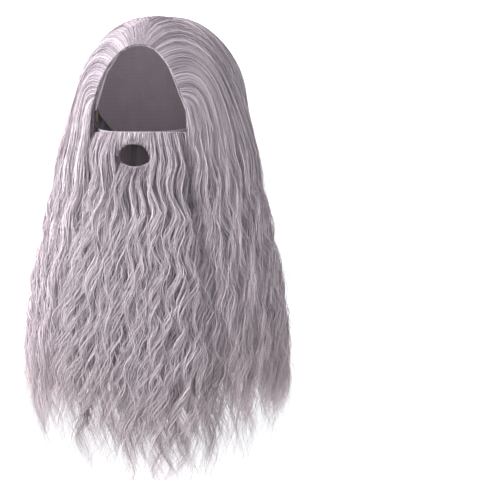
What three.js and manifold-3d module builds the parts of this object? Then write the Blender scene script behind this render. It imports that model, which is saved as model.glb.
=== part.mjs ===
// A long wavy wig and full beard, shown as worn: a net cap under swept-back hair in three parts, and a beard
// on a curved cloth backing with a mouth opening, a moustache and an elastic loop over the head.
// Millimetres, +Z up. The face looks along -Y and +X is the wearer's left side.
// The origin is the crown of the head, just under the top of the cap.

import * as THREE from "three";
import { mergeVertices } from "three/addons/utils/BufferGeometryUtils.js";
import Module from "manifold-3d";

const wasm = await Module();
wasm.setup();

// The head that the set fits, as three half sizes of an ellipsoid whose top is the origin
const HEAD_HALF_BREADTH = 76;
const HEAD_HALF_LENGTH = 97;
const CROWN_TO_EAR = 100;

// Clearance between neighbouring pieces
const GAP = 0.4;

// Elastic loop of the beard
const ELASTIC_WIDTH = 5;
const ELASTIC_THICKNESS = 0.8;
const ELASTIC_TOP_SETBACK = 40;

// Net cap: its wall, and how far below the crown its rim lies at the brow and at the nape
const CAP_WALL = 1.2;
const BROW_DROP = 15;
const NAPE_DROP = 150;
const HAIR_PAST_RIM = 4;

// Depth of hair over the head at ear level and over the crown
const HAIR_OVER_CROWN = 15;
const HAIR_OVER_BROW = 13;
const HAIR_OVER_TEMPLE = 11;
const HAIR_OVER_EAR = 26;
const HAIR_OVER_REAR = 28;
const HAIR_OVER_NAPE = 22;

// The hair below ear level: its drop to the longest tip, and how far it spreads from the head's axis
const EAR_TO_TIP = 450;
const FRONT_SPREAD = 138;
const CORNER_SPREAD = 143;
const SIDE_SPREAD = 166;
const REAR_SPREAD = 146;
const BACK_SPREAD = 134;

// Locks of hair: how deep the furrows between them are, and the waves that they hang in
const FURROW_DEPTH = 7;
const DOME_FURROW_DEPTH = 2.5;
const WAVE_LENGTH = 112;
const WAVE_SWAY = 7.5;
const WAVE_DEPTH = 8;

// Locks from a parting inwards before the hair has its full sway
const LOCKS_TO_FULL_SWAY = 1.6;

// Half width of the flat back of a lock, and the place of a furrow, in locks
const LOCK_BACK = 0.22;
const FURROW_PLACE = 0.5;

// Thickness of the hair at the bottom of a furrow, where it hangs free, and at the hairline
const LEAST_DEPTH = 4;
const EDGE_DEPTH = 2;

// Along a lock: where it has risen to its full depth, where the furrows beside it start to shorten and its
// waves to die out, where its tip starts, and how thin the tip ends
const RISEN = 0.1;
const FREE_END = 0.65;
const TIP_START = 0.78;
const TIP_THINNING = 0.85;

// Share of a side lock's length that lies over the head, and of its length over the head where the middle
// parting reaches the crown
const SHARE_ON_HEAD = 0.3;
const CROWN_SHARE = 0.5;

// Rows of the back hair are set wider apart towards the crown by this power
const BACK_ROW_POWER = 0.8;

// Depth of the beard's hair along its upper edge, as a share of its full depth
const BEARD_EDGE_SHARE = 0.35;

// Lower face that the beard's backing covers, measured from the crown down and from the head's axis
const LIP_DROP = 131;
const CHIN_DROP = 205;
const JAW_HALF_WIDTH = 69;
const FACE_REACH = 97;
const FACE_CENTRE = 10;
const BASE_WALL = 1.5;
const BASE_HALF_ANGLE = 78;
const BASE_CORNER_RISE = 12;
const BASE_CORNER_HEIGHT = 22;

// How far down the back of the neck the head form is followed, as a tilt from straight up
const NECK_TILT = 140;

// Mouth opening, and the band of moustache above it
const MOUTH_WIDTH = 42;
const MOUTH_HEIGHT = 28;
const MOUSTACHE_HEIGHT = 14;
const MOUSTACHE_HALF_WIDTH = 30;
const MOUSTACHE_FURROW = 1.5;

// How far below the moustache's hem the beard's own hair starts
const HEM_ROOM = 2;

// Steps along and around the shapes
const HAIR_ROWS = 20;
const BEARD_ROWS = 15;
const CAP_COLUMNS = 32;
const CAP_ROWS = 8;
const NECK_ROWS = 2;
const FACE_SIDES = 36;
const BASE_COLUMNS = 20;
const BASE_ROWS = 6;
const ROUND_SIDES = 24;
const ELASTIC_STEPS = 32;

// Hair is made this much too deep where it lies on the cap or the backing, and cut to them
const UNDERCUT = 4;

// Room for the flats of one faceted surface to pass over the corners of the next
const FACET_ROOM = 0.3;
const CAP_FACET_ROOM = 1.1;

// Colours
const HAIR_COLOUR = 0xaaa0aa;
const NET_COLOUR = 0x8d868d;
const CLOTH_COLOUR = 0xa79ea6;
const ELASTIC_COLOUR = 0xc9ab8e;

const CAP_INNER = ELASTIC_THICKNESS + 2 * GAP + CAP_FACET_ROOM;
const CAP_OUTER = CAP_INNER + CAP_WALL;
const DOME_HEIGHT = CROWN_TO_EAR + HAIR_OVER_CROWN;
const HAIR_DEPTH = WAVE_DEPTH + FURROW_DEPTH + LEAST_DEPTH;
const HEM_DROP = LIP_DROP + MOUSTACHE_HEIGHT;
const MOUTH_DROP = HEM_DROP + MOUTH_HEIGHT / 2;
const QUARTER = Math.PI / 2;
const DEG = Math.PI / 180;

// Rim of the cap: azimuth from the front in degrees, and drop as a share of the way from brow to nape
const CAP_RIM = [
  { azimuth: 0, share: 0.0 },
  { azimuth: 10, share: 0.01 },
  { azimuth: 20, share: 0.07 },
  { azimuth: 27, share: 0.17 },
  { azimuth: 33, share: 0.33 },
  { azimuth: 38, share: 0.52 },
  { azimuth: 42, share: 0.66 },
  { azimuth: 56, share: 0.69 },
  { azimuth: 72, share: 0.59 },
  { azimuth: 88, share: 0.57 },
  { azimuth: 104, share: 0.74 },
  { azimuth: 130, share: 0.96 },
  { azimuth: 180, share: 1.0 },
];

// Hair below ear level: drop as a share of EAR_TO_TIP, then how much of each spread it has reached
const SKIRT = [
  { drop: 0.0, front: 0.0, corner: 0.0, side: 0.0, rear: 0.0, back: 0.0 },
  { drop: 0.11, front: 0.19, corner: 0.12, side: 0.3, rear: 0.2, back: 0.0 },
  { drop: 0.25, front: 0.6, corner: 0.38, side: 0.53, rear: 0.42, back: 0.05 },
  { drop: 0.45, front: 0.94, corner: 0.72, side: 0.84, rear: 0.78, back: 0.5 },
  { drop: 0.67, front: 1.0, corner: 1.0, side: 1.0, rear: 1.0, back: 1.0 },
  { drop: 0.8, front: 0.95, corner: 0.98, side: 0.97, rear: 0.98, back: 0.95 },
  { drop: 1.0, front: 0.6, corner: 0.74, side: 0.72, rear: 0.76, back: 0.65 },
];

// Azimuths in degrees of the partings: between beard and side hair, which widens from the temple to the
// tips, and between side hair and back hair
const TEMPLE_AZIMUTH = 41;
const TIP_AZIMUTH = 58;
const REAR_AZIMUTH = 116;

// Stations, counted from 1 at ear level: where the side hair starts to hang, and where all the wig's hair
// hangs clear of the head
const HANG_STATION = 1.06;
const CLEAR_STATION = 1.25;

// Stations over which the waves and the furrows grow to their full depth
const GROWTH = { start: 0.95, end: 1.3 };

// Stations above and below the chin between which the beard draws away from its backing
const CHIN_EASE = { above: 0.08, below: 0.12 };

// How much shorter the hair between two locks is than their tips, in stations
const FURROW_SHORT = 0.11;

// Side locks from the face backwards, between the face edge and the middle and rear partings. Each starts
// at the hairline at root, is swept back through sweep at the station lift, and hangs at hang, a share
// of the way from the front parting to the rear one, down to the station tip. The last row, with no lift,
// is the middle parting up to the crown and the rear parting down from it.
const SIDE_LOCKS = [
  { root: TEMPLE_AZIMUTH, sweep: 41.5, lift: 1.05, hang: 0, tip: 1.78, phase: 0 },
  { root: 38, sweep: 45, lift: 0.97, hang: 0.12, tip: 1.86, phase: 0.1 },
  { root: 33, sweep: 50, lift: 0.84, hang: 0.28, tip: 1.86, phase: 0.45 },
  { root: 25, sweep: 54, lift: 0.67, hang: 0.44, tip: 1.82, phase: 0.8 },
  { root: 16, sweep: 57, lift: 0.52, hang: 0.6, tip: 1.82, phase: 0.2 },
  { root: 8, sweep: 62, lift: 0.38, hang: 0.76, tip: 1.81, phase: 0.6 },
  { root: 3, sweep: 74, lift: 0.24, hang: 0.92, tip: 1.83, phase: 0.0 },
  { root: 0, sweep: REAR_AZIMUTH, lift: 0, hang: 1, tip: 1.78, phase: 0 },
];

// Back locks from the wearer's left round to the right: hang is a share of the way between the two rear
// partings
const BACK_LOCKS = [
  { hang: 0, tip: 1.78, phase: 0 },
  { hang: 0.06, tip: 1.84, phase: 0.35 },
  { hang: 0.18, tip: 1.91, phase: 0.7 },
  { hang: 0.3, tip: 1.95, phase: 0.1 },
  { hang: 0.41, tip: 1.98, phase: 0.5 },
  { hang: 0.52, tip: 2.0, phase: 0.85 },
  { hang: 0.63, tip: 1.96, phase: 0.3 },
  { hang: 0.74, tip: 1.99, phase: 0.65 },
  { hang: 0.85, tip: 1.9, phase: 0.0 },
  { hang: 0.95, tip: 1.83, phase: 0.4 },
  { hang: 1, tip: 1.78, phase: 0 },
];

// Beard locks from the wearer's right to the left: hang is a share of the way between the front partings
const BEARD_LOCKS = [
  { hang: 0, tip: 1.74, phase: 0 },
  { hang: 0.07, tip: 1.83, phase: 0.3 },
  { hang: 0.19, tip: 1.87, phase: 0.75 },
  { hang: 0.31, tip: 1.92, phase: 0.15 },
  { hang: 0.42, tip: 1.91, phase: 0.55 },
  { hang: 0.53, tip: 1.96, phase: 0.95 },
  { hang: 0.64, tip: 1.98, phase: 0.35 },
  { hang: 0.75, tip: 1.95, phase: 0.7 },
  { hang: 0.85, tip: 1.93, phase: 0.2 },
  { hang: 0.94, tip: 1.82, phase: 0.6 },
  { hang: 1, tip: 1.74, phase: 0 },
];

// Moustache locks from one corner of the mouth to the other, as shares of its width
const MOUSTACHE_LOCKS = [0, 0.08, 0.24, 0.4, 0.6, 0.76, 0.92, 1];

// Moustache from its upper edge down: share of its height, and of the hair's depth over the brow
const MOUSTACHE_ROWS = [
  { down: 0, depth: 0.35 },
  { down: 0.35, depth: 0.6 },
  { down: 0.7, depth: 0.65 },
  { down: 1, depth: 0.5 },
];

// Lower face: drop as a share of lip to chin, then width and reach as shares of the sizes above
const FACE_SECTIONS = [
  { drop: -0.35, width: 1.0, reach: 0.94 },
  { drop: 0.0, width: 1.0, reach: 1.0 },
  { drop: 0.4, width: 0.96, reach: 0.99 },
  { drop: 0.7, width: 0.84, reach: 0.97 },
  { drop: 0.92, width: 0.7, reach: 0.86 },
  { drop: 1.12, width: 0.52, reach: 0.64 },
];

// Small helpers

function mix(a, b, share) {
  return a + (b - a) * share;
}

function ease(low, high, value) {
  const share = THREE.MathUtils.clamp((value - low) / (high - low), 0, 1);
  return share * share * (3 - 2 * share);
}

// Value of one column of a table, by straight steps between its rows
function lookUp(rows, key, column, at) {
  if (at <= rows[0][key]) return rows[0][column];
  for (let i = 1; i < rows.length; i += 1) {
    if (at <= rows[i][key]) {
      const share = (at - rows[i - 1][key]) / (rows[i][key] - rows[i - 1][key]);
      return mix(rows[i - 1][column], rows[i][column], share);
    }
  }
  return rows[rows.length - 1][column];
}

// Value at a place between the entries of a list, counted from 0
function valueAt(values, place) {
  const first = Math.min(Math.floor(place), values.length - 2);
  return mix(values[first], values[first + 1], place - first);
}

// Azimuth folded to 0 at the front and 180 at the back, the same on both sides
function folded(azimuth) {
  const turn = ((azimuth % 360) + 360) % 360;
  return turn > 180 ? 360 - turn : turn;
}

function around(azimuth, radius, z) {
  const angle = azimuth * DEG;
  return new THREE.Vector3(radius * Math.sin(angle), -radius * Math.cos(angle), z);
}

// Solids from points and faces

function solidFrom(points, faces) {
  const geometry = new THREE.BufferGeometry();
  geometry.setAttribute("position", new THREE.Float32BufferAttribute(points.flatMap((p) => p.toArray()), 3));
  geometry.setIndex(faces.flat());
  return asSolid(geometry);
}

function asSolid(geometry) {
  geometry.deleteAttribute("normal");
  geometry.deleteAttribute("uv");
  const merged = mergeVertices(geometry, 1e-4);
  const corners = Array.from(merged.index.array);
  const triangles = [];
  for (let i = 0; i < corners.length; i += 3) {
    const [a, b, c] = corners.slice(i, i + 3);
    if (a !== b && b !== c && c !== a) triangles.push(a, b, c);
  }
  const vertProperties = new Float32Array(merged.attributes.position.array);
  const triVerts = new Uint32Array(triangles);
  return new wasm.Manifold(new wasm.Mesh({ numProp: 3, vertProperties, triVerts }));
}

// A cut can leave loose crumbs at the ends of locks: only the main body is kept
function mainBody(solid) {
  const bodies = solid.decompose();
  return bodies.reduce((best, body) => (body.volume() > best.volume() ? body : best));
}

// Closed sheet between two grids of points, given as rows of columns. With round set, the last column
// meets the first.
function sheetSolid(outer, inner, round) {
  const rows = outer.length;
  const columns = outer[0].length;
  const points = [...outer.flat(), ...inner.flat()];
  const at = (side, row, column) => side * rows * columns + row * columns + (column % columns);
  const faces = [];
  const quad = (a, b, c, d) => faces.push([a, b, c], [a, c, d]);
  const spans = round ? columns : columns - 1;
  for (let c = 0; c < spans; c += 1) {
    for (let r = 0; r < rows - 1; r += 1) {
      quad(at(0, r, c), at(0, r + 1, c), at(0, r + 1, c + 1), at(0, r, c + 1));
      quad(at(1, r, c), at(1, r, c + 1), at(1, r + 1, c + 1), at(1, r + 1, c));
    }
    quad(at(0, 0, c), at(0, 0, c + 1), at(1, 0, c + 1), at(1, 0, c));
    const last = rows - 1;
    quad(at(0, last, c), at(1, last, c), at(1, last, c + 1), at(0, last, c + 1));
  }
  if (!round) {
    for (let r = 0; r < rows - 1; r += 1) {
      const last = columns - 1;
      quad(at(0, r, 0), at(1, r, 0), at(1, r + 1, 0), at(0, r + 1, 0));
      quad(at(0, r, last), at(0, r + 1, last), at(1, r + 1, last), at(1, r, last));
    }
  }
  return solidFrom(points, faces);
}

// Body through a row of rings, each with the same number of points, closed at both ends by a fan
function loftSolid(rings) {
  const sides = rings[0].length;
  const middle = (ring) => ring.reduce((sum, p) => sum.clone().add(p)).divideScalar(sides);
  const points = [...rings.flat(), middle(rings[0]), middle(rings[rings.length - 1])];
  const start = rings.length * sides;
  const faces = [];
  for (let i = 0; i < sides; i += 1) {
    const next = (i + 1) % sides;
    faces.push([start, next, i]);
    for (let r = 0; r < rings.length - 1; r += 1) {
      const here = r * sides;
      const there = here + sides;
      faces.push([here + i, here + next, there + next], [here + i, there + next, there + i]);
    }
    const last = start - sides;
    faces.push([start + 1, last + i, last + next]);
  }
  return solidFrom(points, faces);
}

// The hair's outer surface. A station of 0 is the crown, 1 is ear level and 2 the longest tip.

function stationAt(drop) {
  if (drop < CROWN_TO_EAR) return Math.acos((CROWN_TO_EAR - drop) / DOME_HEIGHT) / QUARTER;
  return 1 + (drop - CROWN_TO_EAR) / EAR_TO_TIP;
}

// Radius of the hair round the head's axis below ear level, by smooth steps between five directions
function skirtRadius(azimuth, dropShare) {
  const reached = (column) => lookUp(SKIRT, "drop", column, dropShare);
  const radii = [
    mix(HEAD_HALF_LENGTH + HAIR_OVER_BROW, FRONT_SPREAD, reached("front")),
    mix((HEAD_HALF_LENGTH + HEAD_HALF_BREADTH) / 2 + HAIR_OVER_TEMPLE, CORNER_SPREAD, reached("corner")),
    mix(HEAD_HALF_BREADTH + HAIR_OVER_EAR, SIDE_SPREAD, reached("side")),
    mix((HEAD_HALF_LENGTH + HEAD_HALF_BREADTH) / 2 + HAIR_OVER_REAR, REAR_SPREAD, reached("rear")),
    mix(HEAD_HALF_LENGTH + HAIR_OVER_NAPE, BACK_SPREAD, reached("back")),
  ];
  const place = (folded(azimuth) / 180) * (radii.length - 1);
  const first = Math.floor(place);
  return valueAt(radii, first + ease(0, 1, place - first));
}

function hairPoint(azimuth, station, depth) {
  if (station < 1) {
    const angle = station * QUARTER;
    const radius = (skirtRadius(azimuth, 0) - depth) * Math.sin(angle);
    return around(azimuth, radius, -CROWN_TO_EAR + (DOME_HEIGHT - depth) * Math.cos(angle));
  }
  const dropShare = station - 1;
  return around(azimuth, skirtRadius(azimuth, dropShare) - depth, -CROWN_TO_EAR - dropShare * EAR_TO_TIP);
}

function capRimDrop(azimuth) {
  return mix(BROW_DROP, NAPE_DROP, lookUp(CAP_RIM, "azimuth", "share", folded(azimuth)));
}

// Station of the cap's rim plus the hair that covers it
function hairlineStation(azimuth) {
  return stationAt(capRimDrop(azimuth) + HAIR_PAST_RIM);
}

// Azimuth of the front parting, straight from the temple to the tips
function partingAt(station) {
  const temple = hairlineStation(TEMPLE_AZIMUTH);
  return mix(TEMPLE_AZIMUTH, TIP_AZIMUTH, (station - temple) / (2 - temple));
}

// A little inside the cap's outer face, on the same azimuth and tilt as hairPoint
function underCap(azimuth, station) {
  const growth = CAP_OUTER - UNDERCUT;
  const turn = azimuth * DEG;
  const across = Math.sin(turn) / (HEAD_HALF_BREADTH + growth);
  const along = Math.cos(turn) / (HEAD_HALF_LENGTH + growth);
  const radius = 1 / Math.hypot(across, along);
  const tilt = Math.min(station, 1) * QUARTER;
  return around(azimuth, radius * Math.sin(tilt), (CROWN_TO_EAR + growth) * Math.cos(tilt) - CROWN_TO_EAR);
}

// Inside of the wig's hair: it lies on the cap down to ear level, then draws away to hang free
function insideOfWig(azimuth, station) {
  const onCap = underCap(azimuth, station);
  const hanging = hairPoint(azimuth, station, HAIR_DEPTH);
  return onCap.setZ(station < 1 ? onCap.z : hanging.z).lerp(hanging, ease(1, CLEAR_STATION, station));
}

// Columns of a sheet of locks: every lock has two columns on its back, and a furrow on each side. The first
// and last rows of the table are the borders of the sheet.
function lockColumns(rows) {
  const columns = [{ place: 0, furrow: 1, border: true }];
  for (let k = 1; k < rows.length - 1; k += 1) {
    columns.push({ place: k - LOCK_BACK, furrow: 0 }, { place: k + LOCK_BACK, furrow: 0 });
    columns.push({ place: k + FURROW_PLACE, furrow: 1 });
  }
  columns.push({ place: rows.length - 1, furrow: 1, border: true });
  return columns;
}

// Depth below the hair's outer surface, and sway in degrees, of a column at a point of its path. Each lock
// has its own phase, and the columns between two locks lie between their waves.
function waveAt(table, { place, furrow }, azimuth, station, share) {
  const grown = ease(GROWTH.start, GROWTH.end, station);
  const swings = [];
  const dips = [];
  for (let k = 0; k < table.length; k += 1) {
    const turn = 2 * Math.PI * (((station - 1) * EAR_TO_TIP) / WAVE_LENGTH + table[k].phase);
    const inward = Math.min(k, table.length - 1 - k);
    swings.push(Math.min(inward / LOCKS_TO_FULL_SWAY, 1) * Math.sin(turn));
    dips.push((1 - Math.cos(turn)) / 2);
  }
  const furrowDepth = furrow * mix(DOME_FURROW_DEPTH, FURROW_DEPTH, grown) * ease(0, 2 * RISEN, share);
  const sway = grown * (1 - ease(FREE_END, 1, share)) * WAVE_SWAY * valueAt(swings, place);
  return {
    depth: furrowDepth + grown * WAVE_DEPTH * valueAt(dips, place),
    sway: sway / (skirtRadius(azimuth, 0) * DEG),
  };
}

// One sheet of wavy locks with a smooth inside. pathAt(row, share) gives azimuth and station from root to
// tip, insideAt the point behind it, and rootDepth the share of its full depth that the hair has at the root.
function lockSheet(table, pathAt, insideAt, steps, rootDepth) {
  const outer = [];
  const inner = [];
  const columns = lockColumns(table);
  for (let i = 0; i <= steps; i += 1) {
    const share = i / steps;
    const outerRow = [];
    const innerRow = [];
    for (const column of columns) {
      const short = column.furrow && !column.border ? FURROW_SHORT * ease(FREE_END, 1, share) : 0;
      const paths = table.map((row) => pathAt(row, share));
      const azimuth = valueAt(paths.map((path) => path[0]), column.place);
      const station = valueAt(paths.map((path) => path[1]), column.place) - short;
      const { depth, sway } = waveAt(table, column, azimuth, station, share);
      const outside = hairPoint(azimuth + sway, station, depth);
      const inside = insideAt(azimuth + sway, station);
      const edge = outside.clone().sub(inside).setLength(UNDERCUT + BASE_WALL + GAP + EDGE_DEPTH);
      outside.lerpVectors(inside.clone().add(edge), outside, mix(rootDepth, 1, ease(0, RISEN, share)));
      const middle = inside.clone().lerp(outside, 0.5);
      const thinning = TIP_THINNING * ease(TIP_START, 1, share);
      outerRow.push(outside.lerp(middle, thinning));
      innerRow.push(inside.lerp(middle, thinning));
    }
    outer.push(outerRow);
    inner.push(innerRow);
  }
  return { outer, inner };
}

// Sheet of locks as a solid, moved clear of its neighbours
function clearSheet({ outer, inner }, x, y) {
  const shift = new THREE.Vector3(x, y, 0);
  const moved = (rows) => rows.map((row) => row.map((point) => point.clone().add(shift)));
  return sheetSolid(moved(outer), moved(inner), false);
}

function mirrored({ outer, inner }) {
  const flip = (rows) => rows.map((row) => row.map(({ x, y, z }) => new THREE.Vector3(-x, y, z)).reverse());
  return { outer: flip(outer), inner: flip(inner) };
}

// Point on the head form at an azimuth and a tilt from straight up, both in radians, moved out by growth
function headPoint(angle, tilt, growth) {
  const across = Math.sin(tilt);
  return new THREE.Vector3(
    (HEAD_HALF_BREADTH + growth) * across * Math.sin(angle),
    -(HEAD_HALF_LENGTH + growth) * across * Math.cos(angle),
    (CROWN_TO_EAR + growth) * Math.cos(tilt) - CROWN_TO_EAR,
  );
}

// Point on the lower face at an angle round its own centre, moved out by growth
function facePoint(angle, drop, growth) {
  const share = (drop - LIP_DROP) / (CHIN_DROP - LIP_DROP);
  const width = JAW_HALF_WIDTH * lookUp(FACE_SECTIONS, "drop", "width", share) + growth;
  const reach = FACE_REACH * lookUp(FACE_SECTIONS, "drop", "reach", share) - FACE_CENTRE + growth;
  const turn = angle * DEG;
  return new THREE.Vector3(width * Math.sin(turn), -FACE_CENTRE - reach * Math.cos(turn), -drop);
}

// Face of the beard's backing moved out by growth, on the same azimuth as hairPoint
function overBase(azimuth, station, growth) {
  const drop = CROWN_TO_EAR + (station - 1) * EAR_TO_TIP;
  const width = facePoint(90, drop, growth).x;
  const reach = -FACE_CENTRE - facePoint(0, drop, growth).y;
  const turn = azimuth * DEG;
  const across = Math.sin(turn) / width;
  const along = Math.cos(turn) / reach;
  const a = across * across + along * along;
  const b = (along * FACE_CENTRE) / reach;
  const c = (FACE_CENTRE / reach) ** 2 - 1;
  return around(azimuth, (b + Math.sqrt(b * b - a * c)) / a, -drop);
}

// Inside of the beard's hair: it lies on the backing down to the chin, then draws away to hang free
function insideOfBeard(azimuth, station) {
  const hanging = hairPoint(azimuth, station, HAIR_DEPTH);
  const chin = stationAt(CHIN_DROP);
  const onBase = overBase(azimuth, Math.min(station, chin), -UNDERCUT).setZ(hanging.z);
  return onBase.lerp(hanging, ease(chin - CHIN_EASE.above, chin + CHIN_EASE.below, station));
}

// Pieces

// Rows of points over the head from the crown to the cap's rim, and then down the neck in neckRows
function headRows(growth, neckRows) {
  const rows = [];
  for (let r = 0; r <= CAP_ROWS + neckRows; r += 1) {
    const row = [];
    for (let c = 0; c < CAP_COLUMNS; c += 1) {
      const azimuth = (c * 360) / CAP_COLUMNS;
      const rim = Math.acos(1 - capRimDrop(azimuth) / CROWN_TO_EAR);
      const past = Math.max(r - CAP_ROWS, 0) / Math.max(neckRows, 1);
      const tilt = mix(rim * Math.min(r / CAP_ROWS, 1), NECK_TILT * DEG, past);
      row.push(headPoint(azimuth * DEG, tilt, growth));
    }
    rows.push(row);
  }
  return rows;
}

function wigCap() {
  return sheetSolid(headRows(CAP_OUTER, 0), headRows(CAP_INNER, 0), true);
}

// Solid head with its cap and their clearance
function headForm() {
  const outside = headRows(CAP_OUTER + GAP, NECK_ROWS);
  const neck = new THREE.Vector3(0, 0, outside[outside.length - 1][0].z);
  return sheetSolid(outside, outside.map((row) => row.map(() => neck)), true);
}

// Solid lower face with the beard's backing and their clearance
function faceForm() {
  const rings = FACE_SECTIONS.map((section) => {
    const drop = mix(LIP_DROP, CHIN_DROP, section.drop);
    const ring = [];
    for (let i = 0; i < FACE_SIDES; i += 1) {
      ring.push(facePoint((-i * 360) / FACE_SIDES, drop, BASE_WALL + GAP + FACET_ROOM));
    }
    return ring;
  });
  return loftSolid(rings);
}

// Path of side hair: back over the head, then down between the front and rear partings
function sidePath(row, share) {
  if (share >= SHARE_ON_HEAD) {
    const station = mix(HANG_STATION, row.tip, (share - SHARE_ON_HEAD) / (1 - SHARE_ON_HEAD));
    return [mix(partingAt(station), REAR_AZIMUTH, row.hang), station];
  }
  const s = share / SHARE_ON_HEAD;
  const root = hairlineStation(row.root);
  if (row.lift === 0) {
    if (s < CROWN_SHARE) return [row.root, mix(root, 0, s / CROWN_SHARE)];
    return [row.sweep, mix(0, HANG_STATION, (s - CROWN_SHARE) / (1 - CROWN_SHARE))];
  }
  const through = (a, b, c) => a * (1 - s) * (1 - 2 * s) + 4 * b * s * (1 - s) + c * s * (2 * s - 1);
  const end = mix(partingAt(HANG_STATION), REAR_AZIMUTH, row.hang);
  return [through(row.root, row.sweep, end), through(root, row.lift, HANG_STATION)];
}

function sideHair(hand) {
  const left = lockSheet(SIDE_LOCKS, sidePath, insideOfWig, HAIR_ROWS, 0);
  return mainBody(clearSheet(hand > 0 ? left : mirrored(left), hand * GAP, 0).subtract(headForm()));
}

function backPath(row, share) {
  return [mix(REAR_AZIMUTH, 360 - REAR_AZIMUTH, row.hang), row.tip * share ** BACK_ROW_POWER];
}

function backHair() {
  const hair = clearSheet(lockSheet(BACK_LOCKS, backPath, insideOfWig, HAIR_ROWS, 1), 0, GAP);
  return mainBody(hair.subtract(headForm()));
}

function mouthHole() {
  const geometry = new THREE.CylinderGeometry(1, 1, FACE_REACH, ROUND_SIDES);
  geometry.scale(MOUTH_WIDTH / 2, 1, MOUTH_HEIGHT / 2);
  geometry.translate(0, -FACE_REACH, -MOUTH_DROP);
  return asSolid(geometry);
}

function baseTopDrop(share) {
  return LIP_DROP - BASE_CORNER_RISE * share ** 3;
}

function baseBottomDrop(share) {
  return mix(CHIN_DROP, baseTopDrop(1) + BASE_CORNER_HEIGHT, ease(0.2, 1, share));
}

function beardBase() {
  const skin = (growth) => {
    const grid = [];
    for (let r = 0; r <= BASE_ROWS; r += 1) {
      const row = [];
      for (let c = 0; c <= BASE_COLUMNS; c += 1) {
        const side = mix(-1, 1, c / BASE_COLUMNS);
        const drop = mix(baseTopDrop(Math.abs(side)), baseBottomDrop(Math.abs(side)), r / BASE_ROWS);
        row.push(facePoint(side * BASE_HALF_ANGLE, drop, growth));
      }
      grid.push(row);
    }
    return grid;
  };
  return sheetSolid(skin(BASE_WALL), skin(0), false).subtract(mouthHole());
}

// Space that the moustache takes: above the middle of the mouth's upper edge
function moustacheZone(growth) {
  const width = 2 * (MOUSTACHE_HALF_WIDTH + growth);
  const height = 2 * (MOUSTACHE_HEIGHT + HEM_ROOM + growth);
  const geometry = new THREE.BoxGeometry(width, FACE_REACH, height);
  geometry.translate(0, -FACE_REACH, -LIP_DROP);
  return asSolid(geometry);
}

function beardPath(row, share) {
  const station = mix(stationAt(LIP_DROP + 1), row.tip, share);
  return [mix(-partingAt(station), partingAt(station), row.hang), station];
}

function beardHair() {
  const sheet = lockSheet(BEARD_LOCKS, beardPath, insideOfBeard, BEARD_ROWS, BEARD_EDGE_SHARE);
  const hair = clearSheet(sheet, 0, -GAP);
  return mainBody(hair.subtract(faceForm()).subtract(mouthHole()).subtract(moustacheZone(GAP)));
}

// Band of short locks over the lip
function moustache() {
  const halfAngle = Math.asin((MOUSTACHE_HALF_WIDTH - GAP) / (FACE_REACH + HAIR_OVER_BROW)) / DEG;
  const top = stationAt(LIP_DROP + 1);
  const hem = stationAt(HEM_DROP);
  const columns = lockColumns(MOUSTACHE_LOCKS);
  const azimuths = columns.map(({ place }) => mix(-halfAngle, halfAngle, valueAt(MOUSTACHE_LOCKS, place)));
  const outer = [];
  const inner = [];
  for (const { down, depth } of MOUSTACHE_ROWS) {
    const station = mix(top, hem, down);
    const onBase = azimuths.map((azimuth) => overBase(azimuth, station, BASE_WALL + GAP));
    const out = azimuths.map((azimuth, c) => {
      return hairPoint(azimuth, station, MOUSTACHE_FURROW * columns[c].furrow);
    });
    inner.push(onBase);
    outer.push(onBase.map((point, c) => point.clone().lerp(out[c], depth)));
  }
  return sheetSolid(outer, inner, false);
}

// Middle of the elastic: share 0 is over the crown, -1 and 1 are the upper corners of the beard's backing
function bandPoint(share, crest, foot) {
  const rise = GAP + ELASTIC_THICKNESS / 2;
  const away = 1 - Math.cos(Math.abs(share) * QUARTER);
  const y = mix(crest.y, foot.y, away);
  const z = mix(crest.z, foot.z, away);
  const left = 1 - (y / (HEAD_HALF_LENGTH + rise)) ** 2 - ((z + CROWN_TO_EAR) / (CROWN_TO_EAR + rise)) ** 2;
  const onHead = (HEAD_HALF_BREADTH + rise) * Math.sqrt(Math.max(left, 0));
  const x = mix(onHead, foot.x, ease(0.8, 1, Math.abs(share)));
  return new THREE.Vector3(Math.sign(share) * x, y, z);
}

// Flat band from one upper corner of the beard's backing, over the back of the crown, to the other
function beardElastic() {
  const rise = GAP + ELASTIC_THICKNESS / 2;
  const height = Math.sqrt(1 - (ELASTIC_TOP_SETBACK / (HEAD_HALF_LENGTH + rise)) ** 2);
  const crest = new THREE.Vector3(0, ELASTIC_TOP_SETBACK, (CROWN_TO_EAR + rise) * height - CROWN_TO_EAR);
  const corner = facePoint(BASE_HALF_ANGLE, baseTopDrop(1), BASE_WALL / 2);
  const foot = corner.add(new THREE.Vector3(0, 2 * GAP, 2 * GAP));
  const slope = foot.clone().sub(crest).setX(0).normalize();
  const across = new THREE.Vector3(0, -slope.z, slope.y);
  const rings = [];
  for (let i = 0; i <= ELASTIC_STEPS; i += 1) {
    const share = mix(-1, 1, i / ELASTIC_STEPS);
    const centre = bandPoint(share, crest, foot);
    const ahead = bandPoint(share + 0.01, crest, foot).sub(bandPoint(share - 0.01, crest, foot)).normalize();
    const out = new THREE.Vector3().crossVectors(across, ahead).normalize();
    const edges = [
      [1, -1],
      [-1, -1],
      [-1, 1],
      [1, 1],
    ];
    rings.push(
      edges.map(([wide, thick]) =>
        centre
          .clone()
          .addScaledVector(across, (wide * ELASTIC_WIDTH) / 2)
          .addScaledVector(out, (thick * ELASTIC_THICKNESS) / 2),
      ),
    );
  }
  return loftSolid(rings);
}

// The set

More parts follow.
